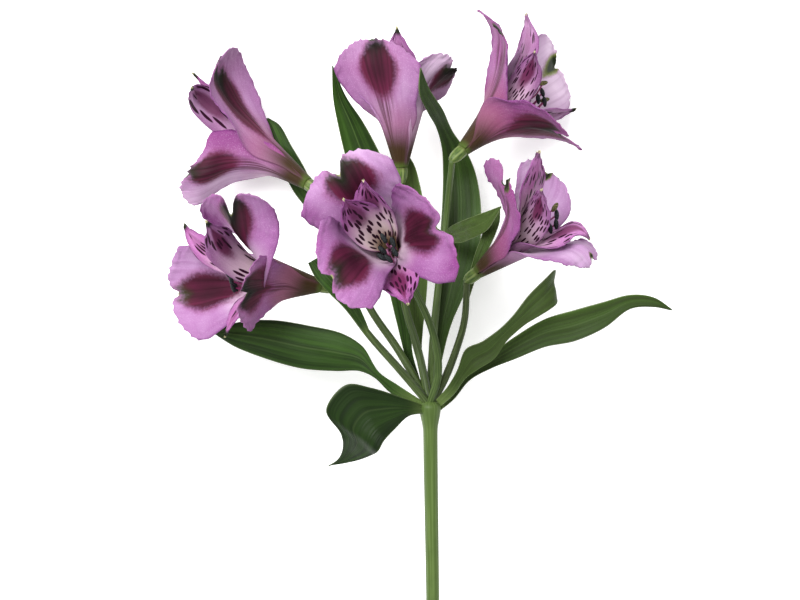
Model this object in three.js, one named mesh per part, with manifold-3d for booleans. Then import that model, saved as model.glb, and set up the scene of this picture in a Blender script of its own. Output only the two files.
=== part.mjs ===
// A cut alstroemeria stem, laid on a table. One stalk ends in a node that carries a whorl of leaves and an
// umbel of six open flowers, each on its own flower stalk. Four of these carry a small leaf, a bract.
// Millimetres, +Z up. The stalk lies along Y, with the flowers towards +Y and the cut end towards -Y.
// Everything is first placed from the node of the umbel, and the whole is then moved to UMBEL_NODE.

import * as THREE from 'three';
import Module from 'manifold-3d';

const wasm = await Module();
wasm.setup();

const { degToRad, lerp, smoothstep, clamp } = THREE.MathUtils;
const V = (x, y, z) => new THREE.Vector3(x, y, z);

// ---------------------------------------------------------------- driving dimensions

const UMBEL_NODE = V(3.9, 18.1, 50); // where the node of the umbel lies, above the table
const BLADE = 0.7; // thickness of petals and leaves
const SEAT_GAP = 0.3; // between pieces that touch
const STALK_RADIUS = [2.4, 2.9]; // at the cut end and below the node
const NODE_RADIUS = 4.4;
const FLOWER_STALK_RADIUS = 1.7; // at the node, and it thins towards the flower
const PEDICEL_RADIUS = 1.25;
const OVARY_LENGTH = 6.5;
const OVARY_RADIUS = 2.6;
const THROAT_RADIUS = 2.5; // of the disc that the petals grow from
const DISC_HEIGHT = 1.6;

// ---------------------------------------------------------------- materials

const material = (color, roughness) => new THREE.MeshStandardMaterial({ color, roughness, metalness: 0 });
const STALK_GREEN = material(0x5f7f45, 0.6);
const OVARY_GREEN = material(0x7f9440, 0.55);
const LEAF_GREEN = material(0x2f5228, 0.5);
const PETAL_MAUVE = material(0xb868b4, 0.5);
const ANTHER_DARK = material(0x2c3440, 0.6);

// ---------------------------------------------------------------- solids and meshes

// An indexed triangle list as a solid that can be joined and cut.
function solidOf(points, triangles) {
  const vertProperties = new Float32Array(points.flatMap((p) => [p.x, p.y, p.z]));
  return new wasm.Manifold(
    new wasm.Mesh({ numProp: 3, vertProperties, triVerts: new Uint32Array(triangles.flat()) }),
  );
}

function meshOf(name, solid, finish) {
  const { vertProperties, triVerts } = solid.getMesh();
  const geometry = new THREE.BufferGeometry();
  geometry.setAttribute('position', new THREE.BufferAttribute(vertProperties, 3));
  geometry.setIndex(new THREE.BufferAttribute(triVerts, 1));
  geometry.computeVertexNormals();
  const mesh = new THREE.Mesh(geometry, finish);
  mesh.name = name;
  return mesh;
}

const joined = (solids) => solids.reduce((whole, next) => whole.add(next));

// A closed solid through rings that each have the same number of points, with a fan over each end.
function loft(rings) {
  const sides = rings[0].length;
  const points = rings.flat();
  const triangles = [];
  for (let ring = 0; ring + 1 < rings.length; ring++) {
    for (let side = 0; side < sides; side++) {
      const next = (side + 1) % sides;
      const [a, b] = [ring * sides + side, ring * sides + next];
      triangles.push([a, b, b + sides], [a, b + sides, a + sides]);
    }
  }
  const last = (rings.length - 1) * sides;
  for (let side = 1; side + 1 < sides; side++) {
    triangles.push([0, side + 1, side], [last, last + side, last + side + 1]);
  }
  return solidOf(points, triangles);
}

// One ring of a loft. radiusOf takes the ring's side number, so that a ring can have ribs.
function ring(centre, across, along, sides, radiusOf) {
  return Array.from({ length: sides }, (_, side) => {
    const turn = (2 * Math.PI * side) / sides;
    const radius = radiusOf(side);
    return centre
      .clone()
      .addScaledVector(across, radius * Math.cos(turn))
      .addScaledVector(along, radius * Math.sin(turn));
  });
}

// A tapering round stalk along a smooth path.
function stalk(path, radiusAt, sides, steps) {
  const { normals, binormals } = path.computeFrenetFrames(steps);
  return loft(
    normals.map((normal, step) => {
      const radius = radiusAt(step / steps);
      return ring(path.getPointAt(step / steps), normal, binormals[step], sides, () => radius);
    }),
  );
}

// A thin closed blade. surface(u, t) is the middle of the blade, with u from -1 to 1 across and t from 0 to 1
// along it. Both faces are split into triangles alike.
function blade(surface, columns, rows) {
  const [points, triangles] = [[], []];
  const SMALL = 0.01;
  for (let row = 0; row <= rows; row++) {
    for (let column = 0; column <= columns; column++) {
      const [u, t] = [(2 * column) / columns - 1, row / rows];
      const middle = surface(u, t);
      const across = surface(u + SMALL, t).sub(surface(u - SMALL, t));
      const along = surface(u, t + SMALL).sub(surface(u, t - SMALL));
      const offset = across.cross(along).setLength(BLADE / 2);
      points.push(middle.clone().add(offset), middle.clone().sub(offset));
    }
  }
  const front = (row, column) => 2 * (row * (columns + 1) + column);
  for (let row = 0; row < rows; row++) {
    for (let column = 0; column < columns; column++) {
      const [a, b] = [front(row, column), front(row, column + 1)];
      const [d, c] = [front(row + 1, column), front(row + 1, column + 1)];
      triangles.push([a, b, c], [a, c, d], [a + 1, c + 1, b + 1], [a + 1, d + 1, c + 1]);
    }
  }
  const edge = [];
  for (let column = 0; column < columns; column++) edge.push(front(0, column));
  for (let row = 0; row < rows; row++) edge.push(front(row, columns));
  for (let column = columns; column > 0; column--) edge.push(front(rows, column));
  for (let row = rows; row > 0; row--) edge.push(front(row, 0));
  edge.forEach((a, i) => {
    const b = edge[(i + 1) % edge.length];
    triangles.push([a, a + 1, b + 1], [a, b + 1, b]);
  });
  return solidOf(points, triangles);
}

// ---------------------------------------------------------------- flowers

// Two kinds of petal. Angles are in degrees. seat and azimuth go round the flower's axis, from its back:
// where the petal's foot stands on the disc, and where its blade then turns to. start is the foot's distance
// from the axis. lean and flare are the midrib's slopes from the axis, at the foot and at the tip. It bends
// from one to the other past bendFrom, a share of its length, and curl is added in the last third. cup is the
// blade's curvature across, wave ripples its margins, fold lifts both halves, twist turns the blade about its
// midrib, and sway bends the midrib sideways.
const OUTER = { start: 2.5, cup: 0.01, wave: 0.9, columns: 4, rows: 7, outline: spoonOutline };
const INNER = { cup: 0.03, wave: 0.3, columns: 2, rows: 7, outline: lanceOutline };

// width is the half width at t, as a share of the widest. reach is the length at u, as a share of the
// midrib's. An outer petal is widest at broadAt, its tip has a notch, and slant makes one side longer.
function spoonOutline(u, t, { notch, slant, broadAt }) {
  const width = lerp(0.15, 1, smoothstep(t, 0.05, broadAt)) * (1 - 0.07 * smoothstep(t, 0.85, 1));
  const dip = notch * Math.exp(-((u / 0.13) ** 2));
  return { width, reach: 1 + slant * u - 0.2 * Math.abs(u) ** 2.6 - dip };
}

function lanceOutline(u, t) {
  const width = lerp(0.14, 1, smoothstep(t, 0.1, 0.66)) * (1 - smoothstep(t, 0.66, 1.08) ** 1.3);
  return { width, reach: 1 };
}

// The midrib's distance from the axis, height and slope, at a share s of its length.
function midrib({ length, lean, flare, bendFrom, curl, start }) {
  const STEPS = 60;
  const slopeAt = (s) =>
    degToRad(lerp(lean, flare, smoothstep(s, bendFrom, 1)) + curl * smoothstep(s, 0.7, 1));
  const table = [{ radius: start, height: 0 }];
  for (let step = 0; step < STEPS * 1.1; step++) {
    const slope = slopeAt((step + 0.5) / STEPS);
    const { radius, height } = table[step];
    table.push({
      radius: radius + (length / STEPS) * Math.sin(slope),
      height: height + (length / STEPS) * Math.cos(slope),
    });
  }
  return (s) => {
    const step = clamp(Math.floor(s * STEPS), 0, table.length - 2);
    const [from, to] = [table[step], table[step + 1]];
    const share = s * STEPS - step;
    return {
      radius: lerp(from.radius, to.radius, share),
      height: lerp(from.height, to.height, share),
      slope: slopeAt(s),
    };
  };
}

// The flower's own directions: its axis, its back (the side of the upper outer petal) and its side.
function directions({ axis, back }) {
  const a = axis.clone().normalize();
  const b = back.clone().addScaledVector(a, -back.dot(a)).normalize();
  return { a, b, side: a.clone().cross(b) };
}

function petalSurface(flower, petal) {
  const { a, b, side } = directions(flower);
  const rib = midrib(petal);
  const WRAP = 0.85; // how closely the claw follows the tube
  return (u, t) => {
    const azimuth = degToRad(lerp(petal.seat, petal.azimuth, smoothstep(t, 0.05, 0.4)));
    const out = b.clone().multiplyScalar(Math.cos(azimuth)).addScaledVector(side, Math.sin(azimuth));
    const across = a.clone().cross(out);
    const { width, reach } = petal.outline(u, t, petal);
    const s = t * reach;
    const { radius, height, slope } = rib(s);
    const bladeShare = smoothstep(t, 0.3, 0.75);
    const bend = lerp(WRAP / radius, petal.cup, bladeShare);
    const x = u * width * petal.halfWidth;
    let lateral = Math.sin(bend * x) / bend;
    let inward = (1 - Math.cos(bend * x)) / bend;
    const fold = degToRad(petal.fold) * bladeShare;
    inward += Math.abs(lateral) * Math.sin(fold);
    lateral *= Math.cos(fold);
    const ripple = Math.sin(2 * Math.PI * 1.6 * t + (u > 0 ? 2 : 0));
    inward += petal.wave * Math.abs(u) ** 3 * ripple * smoothstep(t, 0.35, 0.8);
    const twist = degToRad(petal.twist) * smoothstep(t, 0.3, 1);
    const turned = lateral * Math.cos(twist) - inward * Math.sin(twist);
    inward = lateral * Math.sin(twist) + inward * Math.cos(twist);
    const sideways = turned + petal.sway * petal.length * s * s;
    const outwards = out.clone().multiplyScalar(Math.cos(slope)).addScaledVector(a, -Math.sin(slope));
    return flower.base
      .clone()
      .addScaledVector(out, radius)
      .addScaledVector(a, height)
      .addScaledVector(across, sideways)
      .addScaledVector(outwards, -inward);
  };
}

// A round piece on the flower's axis, from rings given as [height, radius].
function turnedOnAxis(flower, profile, sides, ribs = 0) {
  const { a, b, side } = directions(flower);
  return loft(
    profile.map(([height, radius]) =>
      ring(flower.base.clone().addScaledVector(a, height), b, side, sides, (n) =>
        n % 2 ? radius * (1 - ribs) : radius,
      ),
    ),
  );
}

const petalsOf = (flower) =>
  joined([
    turnedOnAxis(flower, [[0, THROAT_RADIUS], [DISC_HEIGHT, THROAT_RADIUS]], 10),
    ...flower.petals.map((petal) => blade(petalSurface(flower, petal), petal.columns, petal.rows)),
  ]);

// extra is what is added all round, for the space that the stalk leaves.
function ovaryOf(flower, extra = 0) {
  const profile = [[0, 0.55], [0.3, 0.96], [0.7, 1], [1, 0.84]];
  const [bottom, top] = [-SEAT_GAP - OVARY_LENGTH - extra, -SEAT_GAP + extra];
  return turnedOnAxis(
    flower,
    profile.map(([share, size]) => [lerp(bottom, top, share), OVARY_RADIUS * size + extra]),
    10,
    0.12,
  );
}

// The style, and six filaments that leave it, droop towards the flower's lower side and bear anthers.
function stamensOf(flower) {
  const { a, b, side } = directions(flower);
  const { droop } = flower;
  const at = (height, back, sideways) =>
    flower.base.clone().addScaledVector(a, height).addScaledVector(b, back).addScaledVector(side, sideways);
  const foot = DISC_HEIGHT + SEAT_GAP;
  const solids = [turnedOnAxis(flower, [[foot, 0.35], [foot + 5, 0.6], [foot + 13, 0.2]], 6)];
  for (let n = 0; n < 6; n++) {
    const turn = (Math.PI * (2 * n + 1)) / 6;
    const [ringBack, ringSide] = [Math.cos(turn), Math.sin(turn)];
    const reach = flower.stamenLength * (0.86 + 0.05 * n);
    const path = new THREE.CatmullRomCurve3([
      at(foot + 5, 0.35 * ringBack, 0.35 * ringSide),
      at(reach * 0.55, 1.5 * ringBack - 0.3 * droop, 1.5 * ringSide),
      at(reach * 0.85, 2.4 * ringBack - 0.9 * droop, 2.4 * ringSide),
      at(reach, 3.2 * ringBack - 0.8 * droop, 3.4 * ringSide),
    ]);
    solids.push(stalk(path, () => 0.45, 3, 3));
    const tip = path.getPointAt(1);
    const lie = b.clone().multiplyScalar(0.8).addScaledVector(a, 0.5).addScaledVector(side, 0.3 * ringSide);
    const ends = [-2.3, 2.3].map((offset) => tip.clone().addScaledVector(lie.normalize(), offset));
    solids.push(stalk(new THREE.LineCurve3(...ends), (t) => lerp(0.35, 1.1, Math.sin(Math.PI * t)), 4, 2));
  }
  return joined(solids);
}

// A petal from its row: the columns that are named here, in this order, and the rest as its kind has them.
const petalOf = (kind, columns) => (...row) => ({
  ...kind,
  ...Object.fromEntries(columns.map((column, i) => [column, row[i]])),
});
const outer = petalOf(OUTER, [
  'seat', 'azimuth', 'lean', 'flare', 'bendFrom', 'curl', 'length', 'halfWidth', 'twist', 'fold', 'sway',
  'notch', 'slant', 'broadAt',
]);
const inner = petalOf(INNER, [
  'seat', 'azimuth', 'start', 'lean', 'flare', 'bendFrom', 'curl', 'length', 'halfWidth', 'twist', 'fold',
  'sway',
]);

const FLOWERS = [
  {
    name: '1', base: V(-49.6, 89.4, -19), axis: V(-0.75, 0.56, -0.36),
    back: V(0.45, 0.745, 0.4), stamenLength: 40, droop: 3,
    petals: [
      outer(0, -12, 9, 66, 0.48, 41, 74, 19.5, 13, -20, -0.04, 0.1, 0.01, 1.1),
      outer(-120, -112, 9, 83, 0.16, -63, 51.5, 19, 27, 21, -0.21, 0.02, -0.08, 1.25),
      outer(120, 131, 9, 30, 0.34, -15, 57.5, 11.5, -24, 11, 0.03, 0.04, 0, 0.95),
      inner(60, 56, 1.4, 8, -2, 0.16, 7, 73.5, 5, 0, 6, -0.06),
      inner(-60, -70, 0.9, 6, 73, 0.36, 36, 72, 8, 9, 22, 0.08),
      inner(180, 177, 1.4, 8, 30, 0.32, -3, 51.5, 7.5, 0, 6, 0),
    ],
  },
  {
    name: '2', base: V(-11.6, 95.4, -4), axis: V(0, 0.98, 0.22),
    back: V(-0.5, 0.2, 0.8), stamenLength: 38, droop: 3,
    petals: [
      outer(0, -1, 15, 6, 0.14, -12, 53, 21, 12, -2, -0.12, 0, 0.03, 1.1),
      outer(120, 121, 15, 59, 0.5, -6, 47, 16, -40, 9, 0.05, 0.06, -0.06, 1.2),
      outer(-120, -92, 15, 60, 0.38, 15, 52.5, 13, 5, -13, -0.07, 0.13, -0.03, 0.95),
      inner(60, 34, 1.75, 9, -2, 0.3, -10, 57, 8.5, 0, 6, -0.03),
      inner(-60, -29, 0.9, 6, 27, 0.32, 2, 47, 7.5, 0, 6, 0.01),
      inner(180, 206, 1.4, 8, 63, 0.24, 15, 50.5, 7.5, 0, 6, 0.04),
    ],
  },
  {
    name: '3', base: V(13.2, 102.5, -9), axis: V(0.69, 0.66, -0.29),
    back: V(-0.56, 0.8, 0.1), stamenLength: 42, droop: 7,
    petals: [
      outer(27, 20, 12, 54, 0.1, 62, 62, 19.5, -22, -10, -0.05, 0.12, -0.05, 1.2),
      outer(147, 138, 12, 76, 0.08, 20, 48, 15.5, 15, 8, 0.08, 0.16, 0.08, 0.65),
      outer(-93, -96, 12, 49, 0.58, 3, 74.5, 18, 22, 9, -0.02, 0.06, 0.03, 0.95),
      inner(-33, -13, 1.75, 9, 39, 0.48, 14, 67.5, 10, 33, -6, 0.01),
      inner(87, 57, 0.9, 6, 74, 0.18, 20, 56.5, 6.5, 3, 11, 0.09),
      inner(207, 167, 1.4, 8, 38, 0.04, -12, 51.5, 7.5, -10, -12, 0),
    ],
  },
  {
    name: '4', base: V(-43.7, 47.6, 8), axis: V(-0.93, 0.15, 0.35),
    back: V(0.1, 0.95, 0.2), stamenLength: 35, droop: 4,
    petals: [
      outer(0, -31, 14, 77, 0.22, -15, 69, 18.5, 66, -23, -0.07, 0.16, -0.04, 0.8),
      outer(120, 121, 14, 61, -0.22, -21, 64, 22.5, -21, 19, -0.04, 0.05, -0.02, 1.1),
      outer(-120, -91, 14, 52, -0.12, -5, 52, 19, 7, -13, -0.07, 0.15, -0.02, 1.35),
      inner(60, 55, 1.75, 9, 72, 0.38, 10, 65, 6, 16, 3, 0.13),
      inner(-60, -48, 0.9, 6, 61, 0.14, -7, 69, 7.5, -57, 9, 0),
      inner(180, 191, 1.4, 8, 72, 0.2, 3, 47.5, 7.5, -6, -1, 0.04),
    ],
  },
  {
    name: '5', base: V(-13.6, 59.1, 26), axis: V(-0.23, 0.23, 0.94),
    back: V(-0.62, 0.78, 0), stamenLength: 36, droop: 11,
    petals: [
      outer(0, -8, 12, 50, 0.26, 34, 56.5, 25, -11, -1, 0, 0.1, -0.02, 1.25),
      outer(120, 106, 12, 79, 0.58, -13, 63.5, 21.5, -16, -3, 0.07, 0.06, 0.11, 1.15),
      outer(-120, -129, 12, 64, 0.14, -24, 57, 24.5, 30, 3, -0.02, 0.13, -0.07, 1.25),
      inner(-60, -39, 1.75, 9, 30, 0.24, -16, 54, 8, -15, 0, 0.01),
      inner(60, 10, 0.9, 6, 23, 0.22, -14, 54, 8, -14, -4, -0.02),
      inner(180, 169, 1.4, 9, 67, -0.04, -6, 52.8, 9, -22, -4, 0),
    ],
  },
  {
    name: '6', base: V(18.9, 53.1, 10), axis: V(0.73, 0.56, 0.39),
    back: V(-0.56, 0.8, 0), stamenLength: 37, droop: 1,
    petals: [
      outer(40, 25, 12, 81, 0.22, -46, 47.5, 17.5, 27, -8, -0.02, 0.13, -0.09, 1.2),
      outer(160, 176, 12, 35, 0.32, 68, 53, 15.5, 13, -15, -0.02, 0.05, -0.05, 0.95),
      outer(-80, -64, 12, 80, 0.06, 2, 56.5, 14, -13, 11, -0.01, 0.05, 0.04, 0.95),
      inner(-20, 10, 1.75, 9, 42, 0.2, 2, 57.5, 9.5, -34, -11, 0.03),
      inner(100, 64, 0.9, 6, 50, 0.2, 7, 56, 7.5, 4, 10, 0),
      inner(220, 178, 1.4, 8, 69, 0.76, 27, 52.5, 9.5, 35, -24, -0.03),
    ],
  },
];

// ---------------------------------------------------------------- stalks

// Points that each flower stalk passes between the node and its ovary.
const FLOWER_STALKS = {
  1: [V(-12.8, 21.9, -6), V(-23.3, 37.1, -12), V(-36.5, 62.4, -18)],
  2: [V(-4.8, 21.9, -4), V(-10.4, 42, -6), V(-12, 70.2, -5)],
  3: [V(1.4, 25.8, -12), V(4.3, 54.2, -18), V(7.2, 78.8, -20)],
  4: [V(-12, 14.1, 4), V(-24.7, 28.5, 6)],
  5: [V(3.1, 14.2, 8), V(0.6, 30.2, 12)],
  6: [V(5.6, 10.1, 2), V(10.3, 22.1, 4), V(13.6, 34, 6)],
};

// The main stalk's path from its cut end up to the node, and the node's swelling at the top.
const STALK_PATH = [
  V(2, -195, -48.1), V(2, -130, -32), V(1.4, -80, -19.5), V(0.5, -30, -7), V(0.2, -10, -2), V(0, 3, 0.4),
];

function stalkWithBranches(extra) {
  const radiusAt = (t) => {
    const swollen = lerp(lerp(...STALK_RADIUS, t), NODE_RADIUS, smoothstep(t, 0.92, 0.975));
    return extra + swollen * (t > 0.995 ? 0.6 : 1);
  };
  const main = stalk(new THREE.CatmullRomCurve3(STALK_PATH), radiusAt, 8, 24);
  const branches = FLOWERS.map((flower) => {
    const { a } = directions(flower);
    const end = flower.base.clone().addScaledVector(a, -OVARY_LENGTH - SEAT_GAP);
    const path = new THREE.CatmullRomCurve3([V(0, 0, 0), ...FLOWER_STALKS[flower.name], end]);
    return stalk(path, (t) => extra + lerp(FLOWER_STALK_RADIUS, PEDICEL_RADIUS, t), 6, 10);
  });
  return joined([main, ...branches]);
}

const stalkOf = () =>
  stalkWithBranches(0).subtract(joined(FLOWERS.map((flower) => ovaryOf(flower, SEAT_GAP))));

// ---------------------------------------------------------------- leaves

// Each leaf hangs between two rails, given as pairs of points on its left and right margins from its foot to
// its tip, seen from its upper face. channel sinks the midrib by a share of the leaf's half width.
const LEAVES = [
  {
    name: 'leaf_1', channel: 0.16, columns: 4, rows: 12,
    rails: [
      [V(-2.4, 1.2, 0), V(-3.2, -0.8, 0)],
      [V(-12.4, 7.5, -3), V(-15.2, 4.3, -3)],
      [V(-20.5, 13, -6), V(-22.1, 10.6, -6)],
      [V(-27.3, 23.4, -8), V(-28.2, 13.3, -9)],
      [V(-35, 28.3, -9), V(-38.3, 13.3, -11)],
      [V(-48.4, 31.5, -10), V(-52.5, 14.4, -12)],
      [V(-64.7, 33.9, -12), V(-68.1, 18.8, -14)],
      [V(-77, 33.1, -14), V(-78.8, 22.9, -16)],
      [V(-88.2, 29.4, -17), V(-88.2, 28.6, -17)],
    ],
  },
  {
    name: 'leaf_2', channel: 0.1, columns: 4, rows: 14,
    rails: [
      [V(-2.4, -3.2, 2), V(-2.8, 0, 2)],
      [V(-8.4, -4.3, 3), V(-8.4, 2.1, 4)],
      [V(-14.4, -9.7, 5), V(-23.1, 7.1, 8)],
      [V(-18.4, -14, 7), V(-33.4, 8.4, 10)],
      [V(-20.3, -17.5, 7), V(-41.3, -1.6, 9)],
      [V(-23.2, -19.9, 2), V(-35.5, -11.4, 3)],
      [V(-28.1, -21.9, -4), V(-34.9, -17, -3)],
      [V(-34.2, -23.9, -9), V(-37, -22.2, -9)],
      [V(-40.8, -25.1, -13), V(-41, -25.4, -13)],
    ],
  },
  {
    name: 'leaf_3', channel: 0.2, columns: 4, rows: 14,
    rails: [
      [V(2.4, 1.2, 0), V(4, -2.4, 0)],
      [V(7.2, 5.2, 0), V(9.6, 2.4, 0)],
      [V(13.6, 13.6, 0), V(16, 10, 0)],
      [V(22.8, 19.2, 0), V(24.8, 14.8, 0)],
      [V(33.9, 27.2, 1), V(34, 18.4, 0)],
      [V(45.9, 34.4, 2), V(45.9, 23.2, 1)],
      [V(57.8, 38, 3), V(57.8, 25.6, 2)],
      [V(69.2, 41.2, 4), V(69.3, 30.8, 3)],
      [V(79.6, 44, 4), V(79.6, 38.4, 4)],
      [V(89, 43.2, 2), V(89, 39.2, 2)],
      [V(97, 38.4, -2), V(97, 37.8, -2)],
    ],
  },
  {
    name: 'leaf_4', channel: 0.16, columns: 4, rows: 14,
    rails: [
      [V(2.3, 2.2, 4), V(4.3, -0.2, 4)],
      [V(7.1, 7.8, 5), V(9.5, 4.6, 5)],
      [V(10.6, 13.8, 7), V(14.2, 11, 6)],
      [V(14.1, 22.6, 11), V(18.9, 14.6, 8)],
      [V(20.8, 25.8, 12), V(25.6, 19, 9)],
      [V(27.4, 30.6, 13), V(29.9, 25.4, 10)],
      [V(32.5, 35.7, 14), V(36.2, 31.3, 11)],
      [V(38, 42.8, 14), V(42.5, 35.3, 11)],
      [V(44.4, 49.5, 13), V(47.7, 38.4, 10)],
      [V(49.3, 53.9, 10), V(50.7, 41.2, 7)],
      [V(48.7, 48.4, 1), V(48.7, 46.4, 1)],
    ],
  },
  {
    name: 'leaf_5', channel: 0.16, columns: 4, rows: 16,
    rails: [
      [V(-1.2, 1.1, -3), V(1.2, 1.1, -3)],
      [V(0.1, 7.7, -7), V(3.3, 7.7, -7)],
      [V(1.4, 17.7, -12), V(5, 17.7, -12)],
      [V(1.9, 31.8, -17), V(8.8, 31.8, -17)],
      [V(2.3, 46.1, -21), V(15, 46.1, -21)],
      [V(4, 62.5, -24), V(20.4, 62.5, -24)],
      [V(5.3, 79.1, -27), V(21.4, 79.1, -27)],
      [V(5.8, 93.6, -29), V(19.4, 93.6, -29)],
      [V(5.3, 103.7, -25), V(15.2, 103.3, -26)],
      [V(3.1, 111.3, -17), V(9.6, 110.6, -19)],
      [V(-1, 117.1, 1), V(5.2, 118.2, -2)],
      [V(-4.5, 123.7, 18), V(-0.1, 124.5, 15)],
      [V(-4.2, 131.9, 27), V(-3.8, 131.9, 27)],
    ],
  },
  {
    name: 'leaf_6', channel: 0.16, columns: 4, rows: 14,
    rails: [
      [V(-3.4, 0.5, -3), V(-2, 1.8, -3)],
      [V(-6.8, 8.5, -8), V(-3.9, 9.7, -8)],
      [V(-10.4, 20.9, -13), V(-7.1, 21.7, -13)],
      [V(-13.6, 33.8, -17), V(-6.7, 34.7, -17)],
      [V(-17.7, 50.2, -20), V(-7.5, 50.2, -20)],
      [V(-23.9, 68.6, -21), V(-10.4, 70.7, -21)],
      [V(-30, 87.1, -22), V(-14.5, 89.1, -22)],
      [V(-34.5, 101.4, -21), V(-20.6, 102.6, -21)],
      [V(-37.3, 113.5, -19), V(-27.1, 114.7, -19)],
      [V(-39.3, 124.3, -17), V(-34, 125.1, -17)],
      [V(-39.6, 137, -13), V(-39.2, 137, -13)],
    ],
  },
  {
    name: 'leaf_7', channel: 0.14, columns: 4, rows: 12,
    rails: [
      [V(-1.5, 1.4, -5), V(0.5, 1.4, -5)],
      [V(-2.7, 10.5, -9), V(-0.3, 10.5, -9)],
      [V(-5.9, 19.7, -12), V(-3.1, 20.9, -12)],
      [V(-7.9, 27.8, -13), V(-2.7, 29.8, -13)],
      [V(-10.4, 42, -13), V(-1.4, 42, -13)],
      [V(-12.4, 58.2, -13), V(-0.6, 58.2, -13)],
      [V(-13.2, 74.5, -13), V(-1.4, 74.5, -13)],
      [V(-13.6, 88.6, -12), V(-3.9, 88.6, -12)],
      [V(-12.4, 97.5, -11), V(-6.3, 96.7, -11)],
      [V(-10.4, 101.9, -10), V(-9.6, 101.9, -10)],
    ],
  },
  {
    name: 'bract_1', channel: 0.14, columns: 2, rows: 6,
    rails: [
      [V(-39.5, 66.6, -18.6), V(-37.5, 68.3, -18.6)],
      [V(-48.3, 77.1, -26), V(-44.2, 79.9, -26)],
      [V(-55.9, 86.7, -32), V(-48, 89.2, -31)],
      [V(-61, 96, -35), V(-52.3, 98, -34)],
      [V(-65.7, 106.5, -36), V(-57.3, 106.4, -35)],
      [V(-68.6, 115.2, -39), V(-62.3, 115.1, -38)],
      [V(-69.3, 118, -40), V(-66.9, 118, -40)],
    ],
  },
  {
    name: 'bract_3', channel: 0.14, columns: 2, rows: 6,
    rails: [
      [V(5.1, 68.8, -19.4), V(6.3, 66.8, -19.4)],
      [V(9.4, 72.3, -11), V(10.6, 65, -11)],
      [V(15.6, 74.8, -1), V(17.2, 66.8, -1)],
      [V(21.8, 77, 4), V(23, 70.3, 4)],
      [V(28.1, 79.3, 6), V(28.3, 79, 6)],
    ],
  },
  {
    name: 'bract_4', channel: 0.14, columns: 2, rows: 6,
    rails: [
      [V(-25.4, 27.4, 6), V(-23.9, 29.3, 6)],
      [V(-29.3, 32.9, 12), V(-26.6, 36.1, 12)],
      [V(-34.4, 39.3, 17), V(-30.1, 43.6, 17)],
      [V(-40.2, 45.1, 18), V(-34.7, 49.8, 18)],
      [V(-45.3, 51, 18), V(-39.4, 54.5, 18)],
      [V(-48.1, 56.5, 17), V(-44.6, 58.5, 17)],
    ],
  },
  {
    name: 'bract_6', channel: 0.14, columns: 2, rows: 6,
    rails: [
      [V(13.2, 42, 6.6), V(15.2, 42, 6.6)],
      [V(15.2, 50, 0.5), V(18.4, 50.8, 0.5)],
      [V(17.9, 60, -1), V(22.7, 60.8, -1)],
      [V(20.7, 67.5, -2), V(25.9, 67.5, -2)],
      [V(23.1, 73.9, -3), V(27.9, 73.1, -3)],
      [V(27.5, 79.5, -4), V(28.3, 78.7, -4)],
    ],
  },
];

function leafSurface({ rails, channel }) {
  const left = new THREE.CatmullRomCurve3(rails.map(([point]) => point));
  const right = new THREE.CatmullRomCurve3(rails.map(([, point]) => point));
  const marginAt = (margin, t) => {
    const inside = clamp(t, 0, 1);
    const beyond = (t - inside) * margin.getLength();
    return margin.getPoint(inside).addScaledVector(margin.getTangent(inside), beyond);
  };
  return (u, t) => {
    const [from, to] = [marginAt(left, t), marginAt(right, t)];
    const across = to.clone().sub(from);
    const along = marginAt(left, t + 0.01).add(marginAt(right, t + 0.01)).sub(from).sub(to);
    const face = across.clone().cross(along).normalize();
    const sunk = (channel * across.length() * (1 - u * u)) / 2;
    return from.addScaledVector(across, (u + 1) / 2).addScaledVector(face, -sunk);
  };
}

// ---------------------------------------------------------------- assembly

// What would dip into the table is cut flat: the stalk's end and the lowest petals.
const table = loft(
  [-30, 0].map((height) => ring(V(0, 0, height - UMBEL_NODE.z), V(1, 0, 0), V(0, 1, 0), 4, () => 400)),
);
const clearance = stalkWithBranches(SEAT_GAP);

const group = new THREE.Group();
group.add(meshOf('stalk', stalkOf().subtract(table), STALK_GREEN));
for (const flower of FLOWERS) {
  group.add(meshOf(`petals_${flower.name}`, petalsOf(flower).subtract(table), PETAL_MAUVE));
  group.add(meshOf(`ovary_${flower.name}`, ovaryOf(flower), OVARY_GREEN));
  group.add(meshOf(`stamens_${flower.name}`, stamensOf(flower), ANTHER_DARK));
}
for (const leaf of LEAVES) {
  const solid = blade(leafSurface(leaf), leaf.columns, leaf.rows).subtract(clearance);
  group.add(meshOf(leaf.name, solid, LEAF_GREEN));
}
group.position.copy(UMBEL_NODE);

export default group;
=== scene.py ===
# %% [markdown]
# # An alstroemeria stem, laid on a table
#
# One cut stalk carries a whorl of leaves and, on six thin flower stalks, six open mauve flowers. The packed
# model is loaded first and holds every size and place. What shows is then built over it. All of it is thin
# and curved, so nearly every piece is made the same way: a flat grid whose points are moved by a formula, and
# then a Solidify modifier for its thickness.

import math
from types import SimpleNamespace

import bmesh
import bpy
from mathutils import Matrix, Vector, noise


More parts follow.
